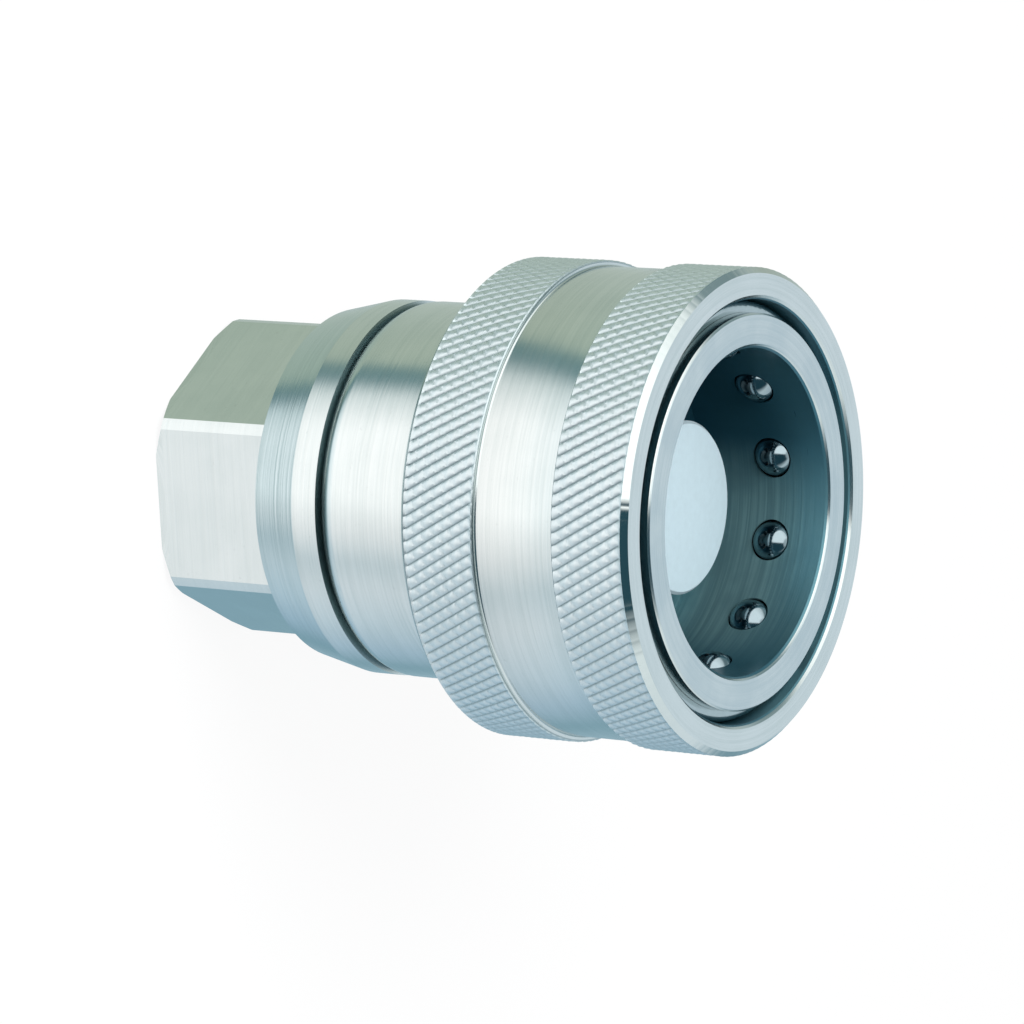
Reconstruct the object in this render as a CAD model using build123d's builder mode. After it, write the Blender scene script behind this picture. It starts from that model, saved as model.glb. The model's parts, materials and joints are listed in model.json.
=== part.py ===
from build123d import *

import os
from math import atan, cos, radians, sin, sqrt

# Pneumatic brake coupling, socket half, with a knurled locking sleeve.
# A mating plug enters the mouth, pushes the valve poppet off its seat and is held
# by a ring of twelve balls that the spring-loaded sleeve presses into its groove.
# Pulling the sleeve back lets the balls move outwards and frees the plug.
#
# Frame: +Z along the axis towards the mouth, origin at the centre of the hexagon's
# end face, so the coupling stands on its hexagon with the mouth up. Millimetres.

# Lengths along the axis
hex_length = 14.8  # spanner hexagon
cone_length = 5.3  # taper between the hexagon and the collar
collar_width = 2.9  # cylindrical collar that meets the socket body
socket_length = 40.0  # socket body, from the joint line to the mouth
sleeve_length = 26.5
rear_band_length = 8.65  # raised knurled band at the sleeve's rear end
front_band_length = 8.6  # raised knurled band at the mouth

# Hexagon end
hex_across_flats = 30.0  # 30 mm spanner
hex_corner_cut = 0.35  # turned off each corner
hex_face_margin = 0.8  # end face circle beyond the flats
hex_chamfer_rise = 0.72  # height of the end chamfer for each millimetre of radius
shoulder_drop = 1.2  # cone's small end below the collar radius

# Radial stack of the socket and sleeve, from the bore outwards
bore_r = 16.8  # bore that takes the plug
slide_gap = 0.05  # running clearance of the sleeve and of the balls under its ramp
spring_space = 2.5  # radial room of the sleeve spring
sleeve_wall = 2.1  # sleeve wall over the spring
waist_depth = 0.65  # smooth waist below the knurled bands
barrel_step = 0.55  # barrel below the tube radius
recess_step = 1.35  # front recess of the sleeve beyond its land

# Edges
sleeve_chamfer = 0.6
waist_chamfer = 0.25
mouth_chamfer = 0.4
tube_edge = 0.2
joint_edge_depth = 1.2  # the socket body curves in towards the joint line
joint_edge_length = 2.0

# Locking balls and their pockets
ball_count = 12
ball_r = 4.7625 / 2
ball_depth = 6.55  # ball centres below the mouth
ball_reach = 1.13  # how far a ball stands into the bore
ball_rise = 0.0825  # how far a locked ball stands out of the tube
ball_turn = 7.0  # angle of the first ball from +X, degrees
pocket_gap = 0.07  # play of a ball in its pocket
lip_overhang = 0.18  # lip that keeps a ball from falling into the bore
ball_seat_gap = 0.01  # play between a ball and its lip
ramp_slope = 0.2  # radial travel of a ball for each millimetre of sleeve travel

# Sleeve travel, spring and the two split rings
sleeve_travel = 6.0
sleeve_spring_wire = 1.3
sleeve_spring_play = 0.5  # spring clear of the tube
sleeve_spring_turns = 4.5
spring_reserve = 1.15  # spring length left when the sleeve is right back
stop_ring_depth = 1.5  # front of the stop ring below the mouth
stop_ring_width = 1.9
stop_ring_bite = 0.95  # depth of its groove in the tube
stop_ring_gap = 0.15  # clear of the sleeve's recess
stop_ring_round = 0.8
seat_ring_inset = 0.8  # seat ring inside the sleeve's rear edge
seat_ring_width = 1.2
seat_ring_bite = 0.6  # depth of its groove below the barrel radius
seat_ring_gap = 0.3  # clear of the spring pocket's wall
ring_play = 0.05  # a split ring in its groove
ring_slot = 3.0  # gap between the ends of a split ring
ring_turn = 35.0  # angle of that gap from +X, degrees

# Bore, plug seal and valve seat
bore_depth = 15.2
nose_r = 13.0  # smaller bore that takes the plug's nose
nose_entry = 0.8
seal_lip = 0.8  # wall in front of the seal groove
seal_groove_width = 3.6
seal_groove_depth = 2.2
seal_heel = 0.8  # bore behind the seal groove
nose_seal_wire = 2.4
backup_ring_width = 1.05
backup_ring_gap = 0.1
seat_r = 10.0  # opening that the valve closes
seat_land = 1.2

# Screwed joint of adapter and socket
thread_step = 1.0  # thread outside the pilot
thread_length = 9.3
thread_gap = 0.05
undercut_depth = 0.9
undercut_width = 1.5
pilot_wall = 2.9  # wall of the pilot round the spring chamber
pilot_length = 2.9
pilot_gap = 0.05
pilot_end_gap = 0.2
joint_groove_depth = 1.3
joint_groove_width = 1.9
seal_play = 0.02  # a rubber ring in its groove

# Hose port and passage
port_r = 10.5  # major radius of a G 1/2 thread
port_depth = 15.0
port_chamfer = 1.2
passage_r = 8.0
flare_r = 10.4
chamber_floor = 0.5  # floor of the spring chamber below the joint line

# Valve poppet, its guide and its spring
face_depth = 7.54  # poppet face below the mouth
head_r = 8.95
head_thickness = 3.0
head_chamfer = 0.3
neck_r = 6.0
flange_overlap = 1.8  # flange beyond the opening that it closes
flange_rim = 2.4
chamber_gap = 0.8  # air's way round the flange
cone_gap = 0.1  # metal cone off the metal seat, the rubber ring closes it
poppet_seal_wire = 1.6
poppet_seal_lift = 0.05  # rubber ring off the seat at rest
poppet_seal_offset = 0.5  # ring centre outside the seat's edge
spring_boss_length = 2.0
stem_r = 3.0
stem_gap = 0.05
stem_overhang = 1.0  # stem below the guide
valve_spring_wire = 1.2
valve_spring_r = 5.5
valve_spring_turns = 4.0
valve_spring_play = 0.3
guide_thickness = 3.0
guide_gap = 0.1
guide_hub_r = 6.4
guide_spoke = 3.2
guide_spoke_count = 3
guide_ring_wall = 2.1

# Springs and rubber rings are eight-sided in section, which keeps their facets few
section_sides = 8

# Stations along the axis
shoulder_z = hex_length
collar_z = shoulder_z + cone_length
joint_z = collar_z + collar_width
mouth_z = joint_z + socket_length
sleeve_z = mouth_z - sleeve_length
rear_band_z = sleeve_z + rear_band_length
front_band_z = mouth_z - front_band_length
ball_z = mouth_z - ball_depth
stop_ring_top_z = mouth_z - stop_ring_depth
stop_ring_z = stop_ring_top_z - stop_ring_width
sleeve_shoulder_z = stop_ring_z - slide_gap
seat_ring_z = sleeve_z + seat_ring_inset
seat_ring_top_z = seat_ring_z + seat_ring_width
sleeve_spring_solid = sleeve_spring_turns * sleeve_spring_wire
sleeve_spring_length = sleeve_spring_solid + sleeve_travel + spring_reserve
spring_top_z = seat_ring_top_z + sleeve_spring_length
nose_top_z = mouth_z - bore_depth
seal_top_z = nose_top_z - seal_lip
seal_z = seal_top_z - seal_groove_width
nose_floor_z = seal_z - seal_heel
seat_z = nose_floor_z - seat_land
thread_end_z = joint_z + thread_length
pilot_end_z = thread_end_z + pilot_length
chamber_floor_z = joint_z - chamber_floor
passage_end_z = chamber_floor_z - (flare_r - passage_r)
guide_top_z = chamber_floor_z + guide_thickness
face_z = mouth_z - face_depth

# Radii of the stack, whose tube wall follows from the balls
tube_wall = 2 * ball_r - ball_reach - ball_rise
tube_r = bore_r + tube_wall
barrel_r = tube_r - barrel_step
land_r = tube_r + slide_gap
recess_r = land_r + recess_step
pocket_r = land_r + spring_space
sleeve_r = pocket_r + sleeve_wall
waist_r = sleeve_r - waist_depth
cone_r = barrel_r - shoulder_drop
hex_turned_r = hex_across_flats / 2 / cos(radians(30)) - hex_corner_cut
hex_face_r = hex_across_flats / 2 + hex_face_margin
seal_groove_r = nose_r + seal_groove_depth
flange_r = seat_r + flange_overlap
chamber_r = flange_r + chamber_gap
pilot_r = chamber_r + pilot_wall
thread_r = pilot_r + thread_step

# Ball ring: where the balls sit, the pocket floor that holds them and the ramp above
ball_ring_r = bore_r - ball_reach + ball_r
lip_r = ball_r - lip_overhang
pocket_floor_r = ball_ring_r - sqrt(ball_r**2 - (lip_r - ball_seat_gap) ** 2)
ramp_angle = atan(ramp_slope)
ramp_touch_r = ball_ring_r + (ball_r + slide_gap) * cos(ramp_angle)
ramp_touch_z = ball_z - (ball_r + slide_gap) * sin(ramp_angle)
ramp_start_z = ramp_touch_z - (ramp_touch_r - land_r) / ramp_slope
ramp_end_r = ramp_touch_r + ramp_slope * (sleeve_shoulder_z - ramp_touch_z)

# Valve cone, parallel to the 45 degree seat
seat_line = seat_r + seat_z  # radius plus height is the same all along the seat
cone_line = seat_line - cone_gap * sqrt(2)
flange_top_z = cone_line - flange_r
flange_z = flange_top_z - flange_rim
seal_ring_r = seat_r + poppet_seal_offset
seal_ring_z = seat_line - (poppet_seal_wire / 2 + poppet_seal_lift) * sqrt(2) - seal_ring_r
spring_boss_r = valve_spring_r - valve_spring_wire / 2 - valve_spring_play
stem_z = chamber_floor_z - stem_overhang

os.makedirs("parts", exist_ok=True)

# Port adapter: hexagon, cone and collar outside, hose port and spring chamber inside
with BuildPart() as port_adapter:
    with BuildSketch(Plane.XY):
        RegularPolygon(radius=hex_across_flats / 2, side_count=6, major_radius=False)
    extrude(amount=hex_length)
    with BuildSketch(Plane.XZ):
        with BuildLine():
            Polyline(
                (0, 0),
                (hex_face_r, 0),
                (hex_turned_r, (hex_turned_r - hex_face_r) * hex_chamfer_rise),
                (hex_turned_r, hex_length),
                (0, hex_length),
                close=True,
            )
        make_face()
    revolve(axis=Axis.Z, mode=Mode.INTERSECT)
    with BuildSketch(Plane.XZ):
        with BuildLine():
            Polyline(
                (0, shoulder_z),
                (cone_r, shoulder_z),
                (barrel_r, collar_z),
                (barrel_r, joint_z),
                (thread_r - undercut_depth, joint_z),
                (thread_r - undercut_depth, joint_z + undercut_width - undercut_depth / 2),
                (thread_r, joint_z + undercut_width + undercut_depth / 2),
                (thread_r, thread_end_z - (thread_r - pilot_r)),
                (pilot_r, thread_end_z),
                (pilot_r, pilot_end_z),
                (0, pilot_end_z),
                close=True,
            )
        make_face()
    revolve(axis=Axis.Z)
    with BuildSketch(Plane.XZ):
        with BuildLine():
            Polyline(
                (0, 0),
                (port_r + port_chamfer, 0),
                (port_r, port_chamfer),
                (port_r, port_depth),
                (passage_r, port_depth),
                (passage_r, passage_end_z),
                (flare_r, chamber_floor_z),
                (chamber_r, chamber_floor_z),
                (chamber_r, pilot_end_z),
                (0, pilot_end_z),
                close=True,
            )
        make_face()
    revolve(axis=Axis.Z, mode=Mode.SUBTRACT)
    joint_groove_z = thread_end_z + pilot_length / 2
    with BuildSketch(Plane.XZ):
        with Locations((pilot_r, joint_groove_z)):
            Rectangle(2 * joint_groove_depth, joint_groove_width)
    revolve(axis=Axis.Z, mode=Mode.SUBTRACT)

port_adapter.part.label = "port_adapter"
export_step(port_adapter.part, "parts/port_adapter.step")

# Socket body: one turned tube with the plug bore, the seal groove and the valve seat
with BuildPart() as socket_body:
    with BuildSketch(Plane.XZ):
        with BuildLine():
            joint_edge = TangentArc(
                (barrel_r, joint_z + joint_edge_length),
                (barrel_r - joint_edge_depth, joint_z),
                tangent=(0, -1),
            )
            Polyline(
                joint_edge @ 1,
                (0, joint_z),
                (0, mouth_z),
                (tube_r - tube_edge, mouth_z),
                (tube_r, mouth_z - tube_edge),
                (tube_r, seat_ring_z - ring_play),
                (barrel_r, seat_ring_z - ring_play),
                joint_edge @ 0,
            )
        make_face()
    revolve(axis=Axis.Z)
    with BuildSketch(Plane.XZ):
        with BuildLine():
            Polyline(
                (0, joint_z),
                (thread_r + thread_gap, joint_z),
                (thread_r + thread_gap, thread_end_z),
                (pilot_r + pilot_gap, thread_end_z),
                (pilot_r + pilot_gap, pilot_end_z + pilot_end_gap),
                (chamber_r, pilot_end_z + pilot_end_gap),
                (chamber_r, seat_line - chamber_r),
                (seat_r, seat_z),
                (seat_r, nose_floor_z),
                (nose_r, nose_floor_z),
                (nose_r, nose_top_z - nose_entry / 2),
                (nose_r + nose_entry, nose_top_z),
                (bore_r, nose_top_z),
                (bore_r, mouth_z - mouth_chamfer),
                (bore_r + mouth_chamfer, mouth_z),
                (0, mouth_z),
                close=True,
            )
        make_face()
    revolve(axis=Axis.Z, mode=Mode.SUBTRACT)
    # Groove of the plug seal, and the outside grooves of the two split rings
    with BuildSketch(Plane.XZ):
        with Locations(((nose_r + seal_groove_r) / 2, (seal_z + seal_top_z) / 2)):
            Rectangle(seal_groove_depth, seal_groove_width)
        with Locations((tube_r, stop_ring_z + stop_ring_width / 2)):
            Rectangle(2 * stop_ring_bite, stop_ring_width + 2 * ring_play)
        with Locations((tube_r, seat_ring_z + seat_ring_width / 2)):
            Rectangle(2 * (seat_ring_bite + barrel_step), seat_ring_width + 2 * ring_play)
    revolve(axis=Axis.Z, mode=Mode.SUBTRACT)
    # Ball pockets: each is drilled from outside down to a floor, and a smaller hole
    # through the floor leaves the lip that holds the ball
    with Locations((0, 0, ball_z)):
        with PolarLocations(pocket_floor_r, ball_count, start_angle=ball_turn):
            with Locations(Location((0, 0, 0), (0, 90, 0))):
                Cylinder(
                    ball_r + pocket_gap,
                    tube_r,
                    align=(Align.CENTER, Align.CENTER, Align.MIN),
                    mode=Mode.SUBTRACT,
                )
                Cylinder(lip_r, tube_wall, mode=Mode.SUBTRACT)

socket_body.part.label = "socket_body"
export_step(socket_body.part, "parts/socket_body.step")

# Locking sleeve: knurled bands and waist outside, spring pocket, land, ball ramp and
# front recess inside
with BuildPart() as locking_sleeve:
    with BuildSketch(Plane.XZ):
        with BuildLine():
            Polyline(
                (pocket_r, sleeve_z),
                (sleeve_r - sleeve_chamfer, sleeve_z),
                (sleeve_r, sleeve_z + sleeve_chamfer),
                (sleeve_r, rear_band_z),
                (waist_r, rear_band_z),
                (waist_r, front_band_z),
                (sleeve_r, front_band_z),
                (sleeve_r, mouth_z - sleeve_chamfer),
                (sleeve_r - sleeve_chamfer, mouth_z),
                (recess_r + mouth_chamfer, mouth_z),
                (recess_r, mouth_z - mouth_chamfer),
                (recess_r, sleeve_shoulder_z),
                (ramp_end_r, sleeve_shoulder_z),
                (land_r, ramp_start_z),
                (land_r, spring_top_z),
                (pocket_r, spring_top_z),
                close=True,
            )
        make_face()
    revolve(axis=Axis.Z)
    waist_corners = (
        edges()
        .filter_by(GeomType.CIRCLE)
        .filter_by(lambda e: abs(e.radius - waist_r) < 0.01)
    )
    chamfer(waist_corners, length=min(waist_chamfer, waist_depth / 2))

locking_sleeve.part.label = "locking_sleeve"
export_step(locking_sleeve.part, "parts/locking_sleeve.step")

# Locking balls, one to each pocket
for index in range(ball_count):
    ball_angle = radians(ball_turn + index * 360 / ball_count)
    with BuildPart() as locking_ball:
        with Locations((ball_ring_r * cos(ball_angle), ball_ring_r * sin(ball_angle), ball_z)):
            Sphere(ball_r)
    locking_ball.part.label = f"locking_ball_{index + 1:02d}"
    export_step(locking_ball.part, f"parts/{locking_ball.part.label}.step")

# Stop ring: a split ring that keeps the sleeve on, rounded on its front edges
with BuildPart() as sleeve_stop_ring:
    stop_ring_inner_r = tube_r - stop_ring_bite + ring_play
    stop_ring_outer_r = recess_r - stop_ring_gap
    with BuildSketch(Plane.XZ):
        with Locations(((stop_ring_inner_r + stop_ring_outer_r) / 2, stop_ring_z)):
            Rectangle(
                stop_ring_outer_r - stop_ring_inner_r,
                stop_ring_width,
                align=(Align.CENTER, Align.MIN),
            )
    revolve(axis=Axis.Z)
    fillet(edges().group_by(Axis.Z)[-1], radius=stop_ring_round)
    with Locations((0, 0, stop_ring_z)):
        with PolarLocations(tube_r, 1, start_angle=ring_turn):
            Box(
                tube_r,
                ring_slot,
                stop_ring_width,
                align=(Align.CENTER, Align.CENTER, Align.MIN),
                mode=Mode.SUBTRACT,
            )

sleeve_stop_ring.part.label = "sleeve_stop_ring"
export_step(sleeve_stop_ring.part, "parts/sleeve_stop_ring.step")

# Seat ring: a split ring at the rear of the sleeve that the sleeve spring stands on
with BuildPart() as spring_seat_ring:
    with BuildSketch(Plane.XY.offset(seat_ring_z)):
        Circle(pocket_r - seat_ring_gap)
        Circle(barrel_r - seat_ring_bite + ring_play, mode=Mode.SUBTRACT)
        with PolarLocations(tube_r, 1, start_angle=ring_turn):
            Rectangle(tube_r, ring_slot, mode=Mode.SUBTRACT)
    extrude(amount=seat_ring_width)

spring_seat_ring.part.label = "spring_seat_ring"
export_step(spring_seat_ring.part, "parts/spring_seat_ring.step")

# Sleeve spring: coiled round the tube, its end coils ground flat
sleeve_spring_r = tube_r + sleeve_spring_play + sleeve_spring_wire / 2
with BuildPart() as sleeve_spring:
    with BuildLine() as sleeve_coil:
        Helix(
            pitch=sleeve_spring_length / sleeve_spring_turns,
            height=sleeve_spring_length,
            radius=sleeve_spring_r,
            center=(0, 0, seat_ring_top_z),
        )
    with BuildSketch(Plane(sleeve_coil.line @ 0, z_dir=sleeve_coil.line % 0)):
        RegularPolygon(sleeve_spring_wire / 2, section_sides, major_radius=False)
    sweep(path=sleeve_coil.line, is_frenet=True)
    split(bisect_by=Plane.XY.offset(seat_ring_top_z), keep=Keep.TOP)
    split(bisect_by=Plane.XY.offset(spring_top_z), keep=Keep.BOTTOM)

sleeve_spring.part.label = "sleeve_spring"
export_step(sleeve_spring.part, "parts/sleeve_spring.step")

# Valve poppet: flat head, neck, sealing cone with its ring groove, boss and stem
with BuildPart() as valve_poppet:
    with BuildSketch(Plane.XZ):
        with BuildLine():
            Polyline(
                (0, stem_z),
                (stem_r, stem_z),
                (stem_r, flange_z - spring_boss_length),
                (spring_boss_r, flange_z - spring_boss_length),
                (spring_boss_r, flange_z),
                (flange_r, flange_z),
                (flange_r, flange_top_z),
                (neck_r, cone_line - neck_r),
                (neck_r, face_z - head_thickness),
                (head_r, face_z - head_thickness),
                (head_r, face_z),
                (0, face_z),
                close=True,
            )
        make_face()
    revolve(axis=Axis.Z)
    with BuildSketch(Plane.XZ):
        with Locations((seal_ring_r, seal_ring_z)):
            RegularPolygon(poppet_seal_wire / 2 + seal_play, section_sides)
    revolve(axis=Axis.Z, mode=Mode.SUBTRACT)
    chamfer(edges().group_by(Axis.Z)[-1], length=head_chamfer)

valve_poppet.part.label = "valve_poppet"
export_step(valve_poppet.part, "parts/valve_poppet.step")

# Poppet seal: the rubber ring let into the valve cone
with BuildPart() as poppet_seal:
    with BuildSketch(Plane.XZ):
        with Locations((seal_ring_r, seal_ring_z)):
            RegularPolygon(poppet_seal_wire / 2, section_sides)
    revolve(axis=Axis.Z)

poppet_seal.part.label = "poppet_seal"
export_step(poppet_seal.part, "parts/poppet_seal.step")

# Valve guide: a spider that stands on the chamber floor and carries the poppet's stem
with BuildPart() as valve_guide:
    guide_r = chamber_r - guide_gap
    with BuildSketch(Plane.XY.offset(chamber_floor_z)):
        Circle(guide_r)
        Circle(guide_r - guide_ring_wall, mode=Mode.SUBTRACT)
        with PolarLocations(guide_r / 2, guide_spoke_count):
            Rectangle(guide_r - guide_ring_wall / 2, guide_spoke)
        Circle(guide_hub_r)
        Circle(stem_r + stem_gap, mode=Mode.SUBTRACT)
    extrude(amount=guide_thickness)

valve_guide.part.label = "valve_guide"
export_step(valve_guide.part, "parts/valve_guide.step")

# Valve spring: between the guide's hub and the back of the valve flange
valve_spring_length = flange_z - guide_top_z
with BuildPart() as valve_spring:
    with BuildLine() as valve_coil:
        Helix(
            pitch=valve_spring_length / valve_spring_turns,
            height=valve_spring_length,
            radius=valve_spring_r,
            center=(0, 0, guide_top_z),
        )
    with BuildSketch(Plane(valve_coil.line @ 0, z_dir=valve_coil.line % 0)):
        RegularPolygon(valve_spring_wire / 2, section_sides, major_radius=False)
    sweep(path=valve_coil.line, is_frenet=True)
    split(bisect_by=Plane.XY.offset(guide_top_z), keep=Keep.TOP)
    split(bisect_by=Plane.XY.offset(flange_z), keep=Keep.BOTTOM)

valve_spring.part.label = "valve_spring"
export_step(valve_spring.part, "parts/valve_spring.step")

# Nose seal: the O-ring that seals on the plug's nose
nose_seal_r = seal_groove_r - nose_seal_wire / 2 - seal_play
with BuildPart() as nose_seal:
    with BuildSketch(Plane.XZ):
        with Locations((nose_seal_r, seal_z + seal_play + nose_seal_wire / 2)):
            RegularPolygon(nose_seal_wire / 2, section_sides)
    revolve(axis=Axis.Z)

nose_seal.part.label = "nose_seal"
export_step(nose_seal.part, "parts/nose_seal.step")

# Backup ring: the flat ring on the mouth side of the nose seal
with BuildPart() as nose_backup_ring:
    with BuildSketch(Plane.XY.offset(seal_top_z - seal_play - backup_ring_width)):
        Circle(seal_groove_r - seal_play)
        Circle(nose_r + backup_ring_gap, mode=Mode.SUBTRACT)
    extrude(amount=backup_ring_width)

nose_backup_ring.part.label = "nose_backup_ring"
export_step(nose_backup_ring.part, "parts/nose_backup_ring.step")

# Joint O-ring: seals the adapter's pilot in the socket body
joint_ring_space = pilot_gap + joint_groove_depth
joint_ring_wire = joint_ring_space - 2 * seal_play
with BuildPart() as joint_o_ring:
    with BuildSketch(Plane.XZ):
        with Locations((pilot_r + pilot_gap - joint_ring_space / 2, joint_groove_z)):
            RegularPolygon(joint_ring_wire / 2, section_sides)
    revolve(axis=Axis.Z)

joint_o_ring.part.label = "joint_o_ring"
export_step(joint_o_ring.part, "parts/joint_o_ring.step")
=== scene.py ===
"""Looks of a brake coupling, built round its fixed frame.

The coupling stands on its hexagon with the mouth up. Meshes and the camera are in
metres, in the frame's own axes: +Z runs along the coupling's axis to the mouth. Sizes
that are fields of a class are in millimetres, and angles there are in degrees.
"""

import json
import logging
import math
from dataclasses import dataclass
from enum import Enum
from typing import Any, Sequence

import bpy
import numpy as np
from mathutils import Matrix, Vector

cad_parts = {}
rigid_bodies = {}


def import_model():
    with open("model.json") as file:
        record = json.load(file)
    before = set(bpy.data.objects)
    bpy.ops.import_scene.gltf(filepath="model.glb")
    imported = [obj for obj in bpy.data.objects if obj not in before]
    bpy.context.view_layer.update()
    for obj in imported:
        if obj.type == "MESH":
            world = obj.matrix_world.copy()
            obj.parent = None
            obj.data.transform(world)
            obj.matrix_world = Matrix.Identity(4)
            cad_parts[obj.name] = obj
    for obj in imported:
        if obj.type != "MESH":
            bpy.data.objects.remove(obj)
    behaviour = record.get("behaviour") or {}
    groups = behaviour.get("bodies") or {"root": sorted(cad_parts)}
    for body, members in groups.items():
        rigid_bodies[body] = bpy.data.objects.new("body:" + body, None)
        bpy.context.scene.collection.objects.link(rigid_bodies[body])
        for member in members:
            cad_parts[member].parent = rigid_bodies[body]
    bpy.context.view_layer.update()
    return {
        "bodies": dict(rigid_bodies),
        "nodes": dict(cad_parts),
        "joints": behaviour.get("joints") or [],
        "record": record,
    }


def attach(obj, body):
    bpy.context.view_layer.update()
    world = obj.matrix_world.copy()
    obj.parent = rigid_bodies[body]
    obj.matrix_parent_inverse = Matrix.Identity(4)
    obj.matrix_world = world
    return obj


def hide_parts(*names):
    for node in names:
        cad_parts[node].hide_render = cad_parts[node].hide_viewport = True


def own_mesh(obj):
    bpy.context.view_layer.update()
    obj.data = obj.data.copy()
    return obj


MM = 0.001
LOG = logging.getLogger("coupling")
GRID_SHARP_FROM = 28.0
WIRE_SHARP_FROM = 40.0
NOISE_MIDDLE = 0.5

Colour = tuple[float, float, float]
Rise = tuple[float, float]
Stops = Sequence[tuple[float, Colour]]


class Body(Enum):
    """Bodies of the frame that pieces ride on."""

    SOCKET = "socket"
    SPRING = "sleeve_turn_body"
    SLEEVE = "sleeve"
    POPPET = "poppet"


@dataclass(frozen=True)
class Grain:
    """A noise: its cells for each millimetre, its octaves and the share of the finer ones."""

    cells: float
    octaves: float
    rough: float


class Term:
    """A number that runs over a surface: one output socket with arithmetic on it."""

    def __init__(self, board: "Board", socket: bpy.types.NodeSocket | None) -> None:
        """Wraps a socket.

        Args:
            board: The node tree that the socket belongs to.
            socket: The output socket, or None for a node that ends a tree.
        """
        self.board = board
        self.socket = socket

    def __add__(self, other: "Term | float") -> "Term":
        """Sum."""
        return self.board.maths("ADD", self, other)

    def __radd__(self, other: float) -> "Term":
        """Sum with the number first."""
        return self.board.maths("ADD", other, self)

    def __sub__(self, other: "Term | float") -> "Term":
        """Difference."""
        return self.board.maths("SUBTRACT", self, other)

    def __rsub__(self, other: float) -> "Term":
        """Difference with the number first."""
        return self.board.maths("SUBTRACT", other, self)

    def __mul__(self, other: "Term | float") -> "Term":
        """Product."""
        return self.board.maths("MULTIPLY", self, other)

    def __rmul__(self, other: float) -> "Term":
        """Product with the number first."""
        return self.board.maths("MULTIPLY", other, self)

    def __truediv__(self, other: "Term | float") -> "Term":
        """Quotient."""
        return self.board.maths("DIVIDE", self, other)

    def __gt__(self, other: "Term | float") -> "Term":
        """1 where this is greater, else 0."""
        return self.board.maths("GREATER_THAN", self, other)

    def __lt__(self, other: "Term | float") -> "Term":
        """1 where this is less, else 0."""
        return self.board.maths("LESS_THAN", self, other)


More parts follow.
